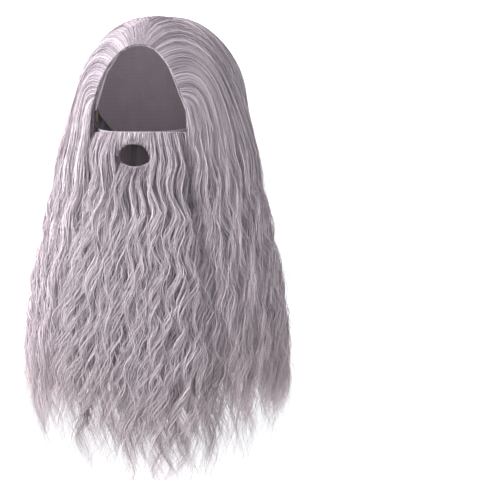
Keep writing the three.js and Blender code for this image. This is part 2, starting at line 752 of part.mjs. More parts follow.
function piece(name, solid, color, roughness) {
  const { vertProperties, triVerts } = solid.getMesh();
  const geometry = new THREE.BufferGeometry();
  geometry.setAttribute("position", new THREE.BufferAttribute(vertProperties, 3));
  geometry.setIndex(new THREE.BufferAttribute(triVerts, 1));
  geometry.computeVertexNormals();
  const material = new THREE.MeshStandardMaterial({ color, roughness, metalness: 0, flatShading: true });
  const mesh = new THREE.Mesh(geometry, material);
  mesh.name = name;
  return mesh;
}

const wig = new THREE.Group();
wig.add(piece("wig_cap", wigCap(), NET_COLOUR, 0.9));
wig.add(piece("left_hair", sideHair(1), HAIR_COLOUR, 0.55));
wig.add(piece("right_hair", sideHair(-1), HAIR_COLOUR, 0.55));
wig.add(piece("back_hair", backHair(), HAIR_COLOUR, 0.55));

const beard = new THREE.Group();
beard.add(piece("beard_base", beardBase(), CLOTH_COLOUR, 0.9));
beard.add(piece("beard_hair", beardHair(), HAIR_COLOUR, 0.55));
beard.add(piece("moustache", moustache(), HAIR_COLOUR, 0.55));
beard.add(piece("beard_elastic", beardElastic(), ELASTIC_COLOUR, 0.85));

const group = new THREE.Group();
group.add(wig, beard);

export default group;
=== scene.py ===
# Long wavy wig and full beard, as worn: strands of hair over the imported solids, with net, cloth and elastic.
# Sizes are in millimetres as in the part's source, and turn to metres where a mesh is made.

import math

import bpy
import numpy as np
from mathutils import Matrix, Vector


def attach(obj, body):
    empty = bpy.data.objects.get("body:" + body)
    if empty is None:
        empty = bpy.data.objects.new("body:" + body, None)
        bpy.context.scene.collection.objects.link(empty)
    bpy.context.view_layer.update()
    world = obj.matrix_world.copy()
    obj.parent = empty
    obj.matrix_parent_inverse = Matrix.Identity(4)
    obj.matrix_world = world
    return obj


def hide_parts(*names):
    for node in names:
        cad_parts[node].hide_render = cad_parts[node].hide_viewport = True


MM = 0.001

# Sizes as in the part's source. HAIR_PAST_RIM is how far the roots lie below the cap's rim, ROOT_OVERLAP how
# far they lie forward of it in degrees, and FRONT_COVER how far the side hair laps over the beard in degrees.
HEAD_HALF_BREADTH = 76
HEAD_HALF_LENGTH = 97
CROWN_TO_EAR = 100
CAP_OUTER = 4.1
BROW_DROP = 15
NAPE_DROP = 150
HAIR_PAST_RIM = 6.5
ROOT_OVERLAP = 2.6
FRONT_COVER = 3
HAIR_OVER_CROWN = 15
HAIR_OVER_BROW = 13
HAIR_OVER_TEMPLE = 11
HAIR_OVER_EAR = 26
HAIR_OVER_REAR = 28
HAIR_OVER_NAPE = 22
EAR_TO_TIP = 450
FRONT_SPREAD = 138
CORNER_SPREAD = 143
SIDE_SPREAD = 166
REAR_SPREAD = 146
BACK_SPREAD = 134
HAIR_DEPTH = 19
LIP_DROP = 131
CHIN_DROP = 205
JAW_HALF_WIDTH = 69
FACE_REACH = 97
FACE_CENTRE = 10
BASE_WALL = 1.5
MOUTH_DROP = 159
MOUTH_WIDTH = 42
MOUTH_HEIGHT = 28
MOUSTACHE_HALF_WIDTH = 30
TEMPLE_AZIMUTH = 41
TIP_AZIMUTH = 58
REAR_AZIMUTH = 116
HANG_STATION = 1.06
SHARE_ON_HEAD = 0.3
DOME_HEIGHT = CROWN_TO_EAR + HAIR_OVER_CROWN

# Rim of the cap: azimuth, and drop as a share of the way from brow to nape
CAP_RIM_AZIMUTH = (0, 10, 20, 27, 33, 38, 42, 56, 72, 88, 104, 130, 180)
CAP_RIM_SHARE = (0, 0.01, 0.07, 0.17, 0.33, 0.52, 0.66, 0.69, 0.59, 0.57, 0.74, 0.96, 1)

# Hair below ear level: how much of each spread it has reached at each share of the drop
SKIRT_DROP = (0, 0.11, 0.25, 0.45, 0.67, 0.8, 1)
SKIRT_FRONT = (0, 0.19, 0.6, 0.94, 1, 0.95, 0.6)
SKIRT_CORNER = (0, 0.12, 0.38, 0.72, 1, 0.98, 0.74)
SKIRT_SIDE = (0, 0.3, 0.53, 0.84, 1, 0.97, 0.72)
SKIRT_REAR = (0, 0.2, 0.42, 0.78, 1, 0.98, 0.76)
SKIRT_BACK = (0, 0, 0.05, 0.5, 1, 0.95, 0.65)

# Lower face behind the beard: drop as a share of lip to chin, then width and reach as shares
FACE_DROP = (-0.35, 0, 0.4, 0.7, 0.92, 1.12)
FACE_WIDTH = (1, 1, 0.96, 0.84, 0.7, 0.52)
FACE_OUT = (0.94, 1, 0.99, 0.97, 0.86, 0.64)

# Paths of the side hair from the face backwards: the share of the length in which it rises to the surface,
# root and sweep azimuths, lift station, place across the hanging hair, and station of the tips. The back hair
# runs from the left parting to the right one, and the beard from its right border to its left.
SIDE_PATHS = {
    "rise": 0.08,
    "root": (40, 37.5, 33, 25, 16, 8, 3, 1, -2),
    "sweep": (38.5, 43.5, 49.5, 54, 57, 62, 74, 95, 165),
    "lift": (1.05, 0.97, 0.84, 0.67, 0.52, 0.38, 0.24, 0.12, 0.045),
    "hang": (0, 0.12, 0.28, 0.44, 0.6, 0.76, 0.9, 1, 1.12),
    "tip": (1.84, 1.86, 1.83, 1.8, 1.785, 1.78, 1.785, 1.79, 1.8),
}
BACK_PATHS = {
    "rise": 0.012,
    "hang": (-0.25, 0.12, 0.3, 0.5, 0.7, 0.88, 1.25),
    "tip": (1.78, 1.88, 1.98, 2, 1.98, 1.91, 1.83),
}
BEARD_PATHS = {
    "rise": 0.045,
    "hang": (0, 0.1, 0.25, 0.42, 0.56, 0.7, 0.84, 1),
    "tip": (1.82, 1.86, 1.92, 1.95, 1.98, 2, 1.98, 1.86),
}

# Steps along a strand: over the head and below it
HEAD_STEPS = 8
HANGING_STEPS = 32

# Strands in each part of the hair, and the wisps and locks that each part gathers in
SIDE_STRANDS = 2350
BACK_STRANDS = 2350
BEARD_STRANDS = 2350
LOOSE_STRANDS = 560
MOUSTACHE_STRANDS = 900
WISPS = 220
LOCKS = 18

# How much deeper the hair lies between two locks, and the back hair's edges on the head, as shares of the
# hair's depth. The reach is a share of the way across the back hair.
LOCK_RELIEF = 0.5
BACK_TUCK = 0.24
BACK_TUCK_REACH = 0.3

# Least and greatest depth of the strands, and of the sheets under them, as shares of the hair's depth
SHALLOWEST = -0.2
DEEPEST = 0.62
SHEET_FRONT = 0.66
WIG_SHEET_BACK = 0.86
BEARD_SHEET_BACK = 0.88
FURROW_DEPTH = 0.04

# Grid of an under sheet, and how far its ragged hem stays above the tips, in stations
SHEET_COLUMNS = 44
SHEET_ROWS = 42
HEM_ABOVE_TIPS = 0.2
HEM_RAGGED = 0.05

# Patches of the map that the strands lie in, beside one row for the sheet under them
MAP_COLUMNS = 256
MAP_ROWS = 10

# Ripples of single strands: shortest and longest period and size, in millimetres
RIPPLES = ((26, 44, 0.45), (46, 90, 0.9), (120, 260, 1.8))

# Unruly strands: share of them with larger ripples and how much larger, and share of them that stand off the
# hair and how far, in millimetres
UNRULY_SHARE = 0.09
UNRULY_RIPPLES = (1.5, 3)
STRAY_SHARE = 0.07
STRAY_REACH = (2, 9)

# Tips in stations: share of short strands, the most they lack, and the mean shortening of any strand
SHORT_SHARE = 0.14
SHORTER_BY = 0.4
TIP_SPREAD = 0.055

# Least and greatest width of a strand, in millimetres
STRAND_WIDTH = (0.35, 0.85)
LOOSE_WIDTH = (0.2, 0.4)
MOUSTACHE_WIDTH = (0.6, 1.1)

# Longest station that a tip may reach
LAST_STATION = 2.03

# Stage and camera, in metres and degrees
FLOOR_LEVEL = -0.62
FLOOR_FRONT = -8
BACKDROP_DISTANCE = 7
BACKDROP_TURN = 2
BACKDROP_HALF_WIDTH = 5
BACKDROP_TOP = 4
GLOW_START = 1.2
GLOW_FULL = 4
GLOW_STRENGTH = 0.6
CAMERA_AZIMUTH = 15
CAMERA_ELEVATION = 1.5
CAMERA_DISTANCE = 5.0
FRAME_WIDTH = 0.5856
TARGET = Vector((0.0978, 0.0262, -0.2632))

# Lamps: azimuth, elevation, distance, size, power in watts and colour
LAMPS = {
    "key": (-44, 34, 2.2, 1.2, 82, (1, 0.99, 0.985)),
    "front": (12, 4, 3.5, 1.0, 8, (1, 0.99, 0.98)),
    "rim": (78, 40, 2.4, 0.8, 8, (0.98, 0.98, 1)),
}


def mix(a, b, share):
    return a + (b - a) * share


def ease(low, high, value):
    share = np.clip((value - low) / (high - low), 0, 1)
    return share * share * (3 - 2 * share)


def unit(vectors):
    return vectors / np.maximum(np.linalg.norm(vectors, axis=-1, keepdims=True), 1e-9)


# The hair's outer surface, as in the part's source. A station of 0 is the crown, 1 is ear level and 2 the
# longest tip.
def around(azimuth, radius, z):
    angle = np.radians(azimuth)
    return np.stack(np.broadcast_arrays(radius * np.sin(angle), -radius * np.cos(angle), z), axis=-1)


def folded(azimuth):
    turn = np.mod(azimuth, 360)
    return np.where(turn > 180, 360 - turn, turn)


def station_at(drop):
    over = np.arccos(np.clip((CROWN_TO_EAR - drop) / DOME_HEIGHT, -1, 1)) / (math.pi / 2)
    return np.where(np.asarray(drop) < CROWN_TO_EAR, over, 1 + (drop - CROWN_TO_EAR) / EAR_TO_TIP)


def skirt_radius(azimuth, drop_share):
    corner_head = (HEAD_HALF_LENGTH + HEAD_HALF_BREADTH) / 2

    def radius(at_head, spread, reached):
        return mix(at_head, spread, np.interp(drop_share, SKIRT_DROP, reached))

    radii = [
        radius(HEAD_HALF_LENGTH + HAIR_OVER_BROW, FRONT_SPREAD, SKIRT_FRONT),
        radius(corner_head + HAIR_OVER_TEMPLE, CORNER_SPREAD, SKIRT_CORNER),
        radius(HEAD_HALF_BREADTH + HAIR_OVER_EAR, SIDE_SPREAD, SKIRT_SIDE),
        radius(corner_head + HAIR_OVER_REAR, REAR_SPREAD, SKIRT_REAR),
        radius(HEAD_HALF_LENGTH + HAIR_OVER_NAPE, BACK_SPREAD, SKIRT_BACK),
    ]
    place = np.broadcast_to(folded(azimuth) / 45, np.shape(azimuth))
    first = np.clip(np.floor(place), 0, 3).astype(int)
    stacked = np.stack([np.broadcast_to(r, np.shape(place)) for r in radii])
    low = np.take_along_axis(stacked, first[None], 0)[0]
    high = np.take_along_axis(stacked, first[None] + 1, 0)[0]
    return mix(low, high, ease(0, 1, place - first))


def hair_point(azimuth, station, depth):
    tilt = np.minimum(station, 1) * math.pi / 2
    drop_share = np.maximum(station - 1, 0)
    radius = (skirt_radius(azimuth, drop_share) - depth) * np.sin(tilt)
    over = -CROWN_TO_EAR + (DOME_HEIGHT - depth) * np.cos(tilt)
    z = np.where(station < 1, over, -CROWN_TO_EAR - drop_share * EAR_TO_TIP)
    return around(azimuth, radius, z)


def rounded_rim():
    """The cap's rim share at each degree of azimuth, with its corners rounded as hair would."""
    reach = 7
    degrees = np.arange(-reach, 181 + reach)
    share = np.interp(folded(degrees), CAP_RIM_AZIMUTH, CAP_RIM_SHARE)
    return np.convolve(share, np.ones(2 * reach + 1) / (2 * reach + 1), mode="valid")


RIM_SHARE = rounded_rim()


def hairline_station(azimuth):
    rim = mix(BROW_DROP, NAPE_DROP, np.interp(folded(azimuth), np.arange(len(RIM_SHARE)), RIM_SHARE))
    return station_at(rim + HAIR_PAST_RIM)


def parting_at(station):
    temple = hairline_station(TEMPLE_AZIMUTH)
    return mix(TEMPLE_AZIMUTH, TIP_AZIMUTH, (station - temple) / (2 - temple))


def over_cap(azimuth, station, growth):
    turn = np.radians(azimuth)
    across = np.sin(turn) / (HEAD_HALF_BREADTH + growth)
    along = np.cos(turn) / (HEAD_HALF_LENGTH + growth)
    tilt = np.minimum(station, 1) * math.pi / 2
    height = (CROWN_TO_EAR + growth) * np.cos(tilt) - CROWN_TO_EAR
    return around(azimuth, np.sin(tilt) / np.hypot(across, along), height)


def inside_of_wig(azimuth, station):
    on_cap = over_cap(azimuth, station, CAP_OUTER + 1)
    hanging = hair_point(azimuth, station, HAIR_DEPTH)
    on_cap[..., 2] = np.where(station < 1, on_cap[..., 2], hanging[..., 2])
    return mix(on_cap, hanging, ease(1, 1.25, station)[..., None])


def over_base(azimuth, drop, growth):
    share = (drop - LIP_DROP) / (CHIN_DROP - LIP_DROP)
    width = JAW_HALF_WIDTH * np.interp(share, FACE_DROP, FACE_WIDTH) + growth
    reach = FACE_REACH * np.interp(share, FACE_DROP, FACE_OUT) - FACE_CENTRE + growth
    turn = np.radians(azimuth)
    across = np.sin(turn) / width
    along = np.cos(turn) / reach
    a = across**2 + along**2
    b = along * FACE_CENTRE / reach
    c = (FACE_CENTRE / reach) ** 2 - 1
    return around(azimuth, (b + np.sqrt(b * b - a * c)) / a, -drop)


def inside_of_beard(azimuth, station):
    hanging = hair_point(azimuth, station, HAIR_DEPTH)
    chin = float(station_at(CHIN_DROP))
    drop = CROWN_TO_EAR + (np.minimum(station, chin) - 1) * EAR_TO_TIP
    on_base = over_base(azimuth, drop, BASE_WALL + 1)
    on_base[..., 2] = hanging[..., 2]
    return mix(on_base, hanging, ease(chin - 0.08, chin + 0.12, station)[..., None])


# Paths of strands: azimuth and station at a place across a table of paths and a share of the length
def column(table, name, place):
    return np.interp(place, np.arange(len(table[name])), table[name])


def side_path(place, share, tip_change):
    root = column(SIDE_PATHS, "root", place)
    sweep = column(SIDE_PATHS, "sweep", place)
    lift = column(SIDE_PATHS, "lift", place)
    hang = column(SIDE_PATHS, "hang", place)
    tip = column(SIDE_PATHS, "tip", place) + tip_change
    s = np.clip(share / SHARE_ON_HEAD, 0, 1)

    def flat(azimuth, station):
        return station * np.sin(np.radians(azimuth)), -station * np.cos(np.radians(azimuth))

    start = flat(root - ROOT_OVERLAP * ease(2, 25, root), hairline_station(root))
    middle = flat(sweep, lift)
    end = flat(mix(parting_at(HANG_STATION) - FRONT_COVER, REAR_AZIMUTH, hang), HANG_STATION)

    def through(k):
        bend = 4 * middle[k] * s * (1 - s)
        return start[k] * (1 - s) * (1 - 2 * s) + bend + end[k] * s * (2 * s - 1)

    x, y = through(0), through(1)
    station = mix(HANG_STATION, tip, np.clip((share - SHARE_ON_HEAD) / (1 - SHARE_ON_HEAD), 0, 1))
    azimuth = mix(parting_at(station) - FRONT_COVER * (1 - ease(1.12, 1.5, station)), REAR_AZIMUTH, hang)
    on_head = share < SHARE_ON_HEAD
    return (
        np.where(on_head, np.degrees(np.arctan2(x, -y)), azimuth),
        np.where(on_head, np.hypot(x, y), station),
    )


def back_path(place, share, tip_change):
    tip = column(BACK_PATHS, "tip", place) + tip_change
    azimuth = mix(REAR_AZIMUTH, 360 - REAR_AZIMUTH, column(BACK_PATHS, "hang", place))
    return azimuth + 0 * share, tip * share**0.8


def beard_path(place, share, tip_change):
    tip = column(BEARD_PATHS, "tip", place) + tip_change
    station = mix(station_at(LIP_DROP + 1), tip, share)
    parting = parting_at(station)
    return mix(-parting, parting, column(BEARD_PATHS, "hang", place)), station


# Strands
def smooth(points, passes):
    for _ in range(passes):
        points[:, 1:-1] = (points[:, :-2] + 2 * points[:, 1:-1] + points[:, 2:]) / 4
    return points


def shares_along():
    over = np.linspace(0, SHARE_ON_HEAD, HEAD_STEPS, endpoint=False)
    return np.concatenate([over, np.linspace(SHARE_ON_HEAD, 1, HANGING_STEPS + 1)])


def nearest(centres, places):
    return np.abs(places[:, None] - centres[None]).argmin(1)


def gather(rng, count, table):
    """Places of strands across the hair, each with its wisp and its lock, as a dict of arrays."""
    first, last = table["hang"][0], table["hang"][-1]
    hang = rng.random(count)
    wisp_at = np.sort((np.arange(WISPS) + rng.random(WISPS)) / WISPS)
    lock_at = np.sort((np.arange(LOCKS) + 0.15 + 0.7 * rng.random(LOCKS)) / LOCKS)
    wisp = nearest(wisp_at, hang)
    lock_of_wisp = nearest(lock_at, wisp_at)
    drift = np.cumsum(rng.normal(0, 0.9, LOCKS))
    lock = {
        "phase": drift,
        "period": rng.uniform(60, 80, LOCKS),
        "sway": rng.uniform(4.4, 7.4, LOCKS),
        "tip": rng.normal(0, 0.03, LOCKS),
        "tint": rng.normal(0, 0.08, LOCKS),
        "pull": rng.uniform(0.25, 0.6, LOCKS),
    }
    wisps = {
        "phase": lock["phase"][lock_of_wisp] + rng.normal(0, 0.3, WISPS),
        "period": lock["period"][lock_of_wisp] * rng.normal(1, 0.04, WISPS),
        "sway": lock["sway"][lock_of_wisp] * rng.uniform(0.7, 1.25, WISPS),
        "tip": lock["tip"][lock_of_wisp] + rng.normal(0, 0.03, WISPS),
        "tint": lock["tint"][lock_of_wisp] + rng.normal(0, 0.06, WISPS),
        "pull": rng.uniform(0, 0.75, WISPS) ** 1.3,
        "depth": rng.random(WISPS) ** 1.2,
    }
    strands = {name: values[wisp] for name, values in wisps.items()}
    strands["hang"] = mix(first, last, hang)
    strands["wisp_at"] = mix(first, last, wisp_at[wisp])
    strands["lock_at"] = mix(first, last, lock_at[lock_of_wisp][wisp])
    strands["lock_pull"] = lock["pull"][lock_of_wisp][wisp]
    short = np.where(rng.random(count) < SHORT_SHARE, rng.uniform(0, SHORTER_BY, count), 0)
    strands["tip"] = strands["tip"] - short - rng.exponential(TIP_SPREAD, count)
    return strands


def border_relief(table, hang):
    """Extra depth, as a share of the hair's, towards the front parting."""
    if table is BEARD_PATHS:
        return 0.75 * (1 - ease(0, 0.14, np.minimum(hang, 1 - hang)))
    if table is SIDE_PATHS:
        return 0.5 * (1 - ease(0, 0.05, hang)) - 0.12 * (1 - ease(0.04, 0.25, hang))
    return 0


def tuck_on_head(table, hang):
    """How far the back hair's edges lie under the side hair on the head, as a share of its depth."""
    if table is not BACK_PATHS:
        return 0
    edge = np.minimum(hang - table["hang"][0], table["hang"][-1] - hang)
    return BACK_TUCK * (1 - ease(0, BACK_TUCK_REACH, edge))


def grow(rng, strands, table, path, inside, start, looseness=0):
    """Centre lines of the strands, their outward directions and the share of the length at each point."""
    count = len(strands["hang"])
    share = start[:, None] + (1 - start[:, None]) * shares_along()[None]
    clump = ease(0.12, 0.8, share)
    toward_lock = mix(strands["wisp_at"], strands["lock_at"], strands["lock_pull"])
    wisp_hang = mix(strands["wisp_at"][:, None], toward_lock[:, None], clump)
    hang = mix(strands["hang"][:, None], wisp_hang, clump * strands["pull"][:, None])
    place = np.interp(hang, table["hang"], np.arange(len(table["hang"])))
    azimuth, station = path(place, share, strands["tip"][:, None])
    station = np.minimum(station, LAST_STATION)
    depth = 0.03 + 0.4 * strands["depth"][:, None] + rng.uniform(-0.03, 0.3, count)[:, None]
    between = np.clip(2 * LOCKS * np.abs(hang - strands["lock_at"][:, None]), 0, 1) ** 2
    depth = depth + LOCK_RELIEF * between + border_relief(table, hang)
    own_share = shares_along()[None]
    rise = ease(0, np.where(start > 0.03, 0.015, table["rise"])[:, None], own_share)
    outer = hair_point(azimuth, station, 0)
    inner = inside(azimuth, station)
    outer = mix(inner + 3 * unit(outer - inner), outer, rise[..., None])
    on_head = 0.22 * np.minimum(depth, 0.8) - 0.2 + rng.uniform(0, 0.12, count)[:, None]
    on_head = on_head + tuck_on_head(table, hang)
    depth = np.clip(mix(on_head, depth, ease(1, 1.3, station)), SHALLOWEST, DEEPEST)
    line = smooth(mix(outer, inner, depth[..., None]), 3)
    outward = unit(outer - inner)
    tangent = unit(np.gradient(line, axis=1))
    across = unit(np.cross(tangent, outward))
    down = np.maximum(station - 1, 0) * EAR_TO_TIP
    grown = ease(0.98, 1.32, station)
    turn = 2 * math.pi * down / strands["period"][:, None] + strands["phase"][:, None]
    turn = turn + rng.normal(0, 0.22, count)[:, None]
    grown = grown * mix(0.9, 1.2, ease(1.3, 1.8, station))
    sway = grown * strands["sway"][:, None] * (np.sin(turn) + 0.16 * np.sin(2 * turn + 0.7))
    heave = grown * 0.6 * strands["sway"][:, None] * np.cos(turn)
    is_unruly = rng.random(count) < UNRULY_SHARE + looseness
    unruly = np.where(is_unruly, rng.uniform(*UNRULY_RIPPLES, count), 1)[:, None]
    for low, high, size in RIPPLES:
        for sideways in (True, False):
            period = rng.uniform(low, high, count)[:, None]
            offset = rng.uniform(0, 2 * math.pi, count)[:, None]
            reach = size * unruly * rng.uniform(0.4, 1.2, count)[:, None] * ease(0.5, 1.7, station)
            ripple = reach * np.sin(2 * math.pi * (down + 60 * station) / period + offset)
            sway = sway + ripple * (1 if sideways else 0)
            heave = heave + ripple * (0 if sideways else 0.8)
    is_stray = rng.random(count) < STRAY_SHARE + looseness
    stray = np.where(is_stray, rng.uniform(*STRAY_REACH, count), 0)[:, None]
    heave = heave + stray * ease(0.9, 1.9, station)
    line = line + across * sway[..., None] + outward * heave[..., None]
    return line, outward, own_share


def clear_of_mouth(line):
    """Pushes strands sideways out of the mouth opening."""
    half_width = MOUTH_WIDTH / 2
    half_height = MOUTH_HEIGHT / 2
    rise = np.clip((line[..., 2] + MOUTH_DROP) / half_height, -1, 1)
    edge = half_width * np.sqrt(1 - rise**2)
    inside = (np.abs(line[..., 0]) < edge) & (line[..., 1] < 0)
    side = np.where(line[:, :1, 0] < 0, -1, 1)
    line[..., 0] = np.where(inside, side * edge, line[..., 0])
    return line


def beard_start(rng, strands):
    """Share of its length where each beard strand starts: at the top edge, or round the mouth."""
    top = station_at(LIP_DROP + 1)
    hang = strands["hang"]
    azimuth = mix(-1, 1, hang) * parting_at(station_at(MOUTH_DROP))
    x = np.abs((FACE_REACH + 1) * np.sin(np.radians(azimuth)))
    half_width = MOUTH_WIDTH / 2
    below = MOUTH_DROP + MOUTH_HEIGHT / 2 * np.sqrt(np.maximum(1 - (x / half_width) ** 2, 0))
    drop = np.where(x < half_width - 1, below + rng.uniform(-0.5, 3, len(x)), LIP_DROP + 0.5)
    tip = np.interp(hang, BEARD_PATHS["hang"], BEARD_PATHS["tip"]) + strands["tip"]
    return (station_at(drop) - top) / (tip - top)


# Meshes from arrays
def ribbons(rng, line, outward, width, own_share):
    """Corner points of one flat blade along each line, rolled a little at random and tapered."""
    tangent = unit(np.gradient(line, axis=1))
    across = unit(np.cross(tangent, outward))
    above = unit(np.cross(across, tangent))
    count = line.shape[0]
    roll = rng.normal(0, 0.75, count)[:, None] + rng.normal(0, 1.3, count)[:, None] * own_share
    taper = mix(0.75, 1, ease(0, 0.2, own_share)) * mix(1, 0.2, ease(0.82, 1, own_share))
    half = (width[:, None] * taper / 2)[..., None]
    edge = across * np.cos(roll)[..., None] + above * np.sin(roll)[..., None]
    return np.stack([line - edge * half, line + edge * half], axis=2)


def ribbon_faces(count, steps):
    strand = np.arange(count)[:, None] * (steps + 1) * 2
    step = np.arange(steps)[None] * 2
    corner = strand + step
    return np.stack([corner, corner + 1, corner + 3, corner + 2], axis=-1).reshape(-1, 4)


def ribbon_map(count, steps):
    """A narrow patch of the map for each strand."""
    number = np.arange(count)
    left = (number % MAP_COLUMNS) / MAP_COLUMNS
    bottom = (1 + number // MAP_COLUMNS) / (MAP_ROWS + 1)
    u = left[:, None, None] + np.array([0.1, 0.9])[None, None] / MAP_COLUMNS
    along = 0.02 + 0.96 * np.arange(steps + 1)[None, :, None] / steps
    v = bottom[:, None, None] + along / (MAP_ROWS + 1)
    u, v = np.broadcast_arrays(u, v)
    return np.stack([u, v], axis=-1)


def sheet(outer, inner):
    """Points, faces and map of a closed sheet between two grids of points."""
    rows, columns = outer.shape[:2]
    index = np.arange(rows * columns).reshape(rows, columns)
    behind = index + rows * columns

    def quads(grid):
        return np.stack([grid[:-1, :-1], grid[1:, :-1], grid[1:, 1:], grid[:-1, 1:]], axis=-1).reshape(-1, 4)

    faces = [quads(index), quads(behind)[:, ::-1]]
    for edge, back in (
        (index[0], behind[0]),
        (index[-1][::-1], behind[-1][::-1]),
        (index[::-1, 0], behind[::-1, 0]),
        (index[:, -1], behind[:, -1]),
    ):
        faces.append(np.stack([edge[:-1], edge[1:], back[1:], back[:-1]], axis=-1))
    u, v = np.meshgrid(np.linspace(0.01, 0.48, columns), np.linspace(0.01, 0.95, rows))
    front = np.stack([u, v / (MAP_ROWS + 1)], axis=-1)
    back = np.stack([u + 0.5, v / (MAP_ROWS + 1)], axis=-1)
    points = np.concatenate([outer.reshape(-1, 3), inner.reshape(-1, 3)])
    return points, np.concatenate(faces), np.concatenate([front.reshape(-1, 2), back.reshape(-1, 2)])


def object_from(name, parts, material):
    """One object from several groups of points, quads, map places and tints."""
    points, faces, places, tints = [], [], [], []
    start = 0
    for part_points, part_faces, part_map, part_tint in parts:
        points.append(part_points.reshape(-1, 3))
        faces.append(part_faces + start)
        places.append(part_map.reshape(-1, 2))
        tints.append(part_tint.reshape(-1, 3))
        start += len(points[-1])
    points = np.concatenate(points) * MM
    faces = np.concatenate(faces)
    places = np.concatenate(places)
    tints = np.concatenate(tints)
    mesh = bpy.data.meshes.new(name)
    mesh.vertices.add(len(points))
    mesh.vertices.foreach_set("co", points.astype(np.float32).ravel())
    mesh.loops.add(faces.size)
    mesh.loops.foreach_set("vertex_index", faces.astype(np.int32).ravel())
    mesh.polygons.add(len(faces))
    mesh.polygons.foreach_set("loop_start", np.arange(0, faces.size, 4, dtype=np.int32))
    mesh.update(calc_edges=True)
    mesh.polygons.foreach_set("use_smooth", np.ones(len(faces), dtype=bool))
    layer = mesh.uv_layers.new(name="OFBake")
    layer.data.foreach_set("uv", places[faces.ravel()].astype(np.float32).ravel())
    colours = mesh.color_attributes.new(name="tint", type="FLOAT_COLOR", domain="POINT")
    full = np.concatenate([tints, np.ones((len(tints), 1))], axis=1)
    colours.data.foreach_set("color", full.astype(np.float32).ravel())
    mesh.validate()
    mesh.materials.append(material)
    made = bpy.data.objects.new(name, mesh)
    bpy.context.scene.collection.objects.link(made)
    return made


# Colour of the hair as linear values: silver grey with a trace of lilac
HAIR_TONE = np.array([0.515, 0.455, 0.497])
ROOT_TONE = np.array([0.86, 0.85, 0.88])
TIP_TONE = np.array([1.0, 0.97, 0.96])
# Painted shade: the sheets under the strands are darkened to this share of the hair's colour, standing in for
# the shade deep in the hair.
PAINTED_DEEP_SHADE = 0.5

# How strands differ in brightness, how much painted shade darkens deep ones, and the share of bright ones
STRAND_VARIATION = 0.17
PAINTED_SHADE_WHEN_DEEP = 0.25
BRIGHT_SHARE = 0.16
BRIGHT_LEVELS = (1.1, 1.4)


def strand_tints(rng, strands, own_share, depth):
    count = len(depth)
    # Painted shade: strands that lie deeper are darkened, on top of their own random tone.
    level = 1 + strands["tint"] + rng.normal(0, STRAND_VARIATION, count) - PAINTED_SHADE_WHEN_DEEP * depth
    bright = np.where(rng.random(count) < BRIGHT_SHARE, rng.uniform(*BRIGHT_LEVELS, count), 1)
    along = mix(ROOT_TONE, 1, ease(0, 0.25, own_share)[..., None])
    along = along * mix(1, TIP_TONE, ease(0.6, 1, own_share)[..., None])
    tint = HAIR_TONE * (level * bright)[:, None, None] * along
    return np.clip(np.repeat(tint[:, :, None], 2, axis=2), 0.02, 0.95)


def under_sheet(rng, table, path, inside, back, top_share, mouth=False):
    """Sheet of hair behind the strands, darkened as painted shade of the hair's depths, with a ragged hem and
    a hole round the mouth if asked for.
    """
    columns, rows = SHEET_COLUMNS, SHEET_ROWS
    hang = np.linspace(min(table["hang"]), max(table["hang"]), columns)
    place = np.interp(hang, table["hang"], np.arange(len(table["hang"])))[None].repeat(rows, 0)
    share = np.linspace(top_share, 1, rows)[:, None].repeat(columns, 1)
    hem = -HEM_ABOVE_TIPS - HEM_RAGGED * rng.random(columns)[None].repeat(rows, 0)
    azimuth, station = path(place, share, hem)
    outer = hair_point(azimuth, station, 0)
    inner = inside(azimuth, station)
    rise = ease(0, table["rise"], share - top_share)[..., None]
    outer = mix(inner + 3 * unit(outer - inner), outer, rise)
    furrow = FURROW_DEPTH * np.sin(np.arange(columns) * 1.9)[None, :, None]
    near = mix(outer, inner, SHEET_FRONT + furrow)
    far = mix(outer, inner, back)
    # Painted shade: the sheet is darkened to a share of the hair's colour, with a random tone for each column.
    tint = HAIR_TONE * PAINTED_DEEP_SHADE * (1 + 0.25 * rng.normal(0, 1, columns))[None, :, None].repeat(rows, 0)
    points, faces, places = sheet(near, far)
    if mouth:
        middle = points[faces].mean(1)
        x = middle[:, 0] / (MOUTH_WIDTH / 2 + 1)
        z = (middle[:, 2] + MOUTH_DROP + 4) / (MOUTH_HEIGHT / 2 + 6)
        band = (np.abs(middle[:, 0]) < MOUSTACHE_HALF_WIDTH) & (middle[:, 2] > -MOUTH_DROP + 10)
        faces = faces[~((x**2 + z**2 < 1) | band)]
    return points, faces, places, np.clip(np.concatenate([tint.reshape(-1, 3)] * 2), 0.03, 0.9)


def flipped(part):
    points, faces, places, tints = part
    points = points.reshape(-1, 3) * np.array([-1, 1, 1])
    return points, faces[:, ::-1], places, tints


def strand_part(rng, strands, line, outward, own_share, width):
    count, steps = line.shape[0], line.shape[1] - 1
    own = np.broadcast_to(own_share, line.shape[:2])
    points = ribbons(rng, line, outward, width, own)
    tints = strand_tints(rng, strands, own, strands["depth"])
    return points, ribbon_faces(count, steps), ribbon_map(count, steps), tints


def strand_widths(rng, count):
    return rng.uniform(*STRAND_WIDTH, count)


def side_hair(name, seed, hand, material):
    rng = np.random.default_rng(seed)
    strands = gather(rng, SIDE_STRANDS, SIDE_PATHS)
    start = np.where(rng.random(SIDE_STRANDS) < 0.45, rng.uniform(0.01, 0.26, SIDE_STRANDS), 0)
    line, outward, own_share = grow(rng, strands, SIDE_PATHS, side_path, inside_of_wig, start)
    parts = [
        under_sheet(rng, SIDE_PATHS, side_path, inside_of_wig, WIG_SHEET_BACK, 0),
        strand_part(rng, strands, line, outward, own_share, strand_widths(rng, SIDE_STRANDS)),
    ]
    if hand < 0:
        parts = [flipped(part) for part in parts]
    return object_from(name, parts, material)


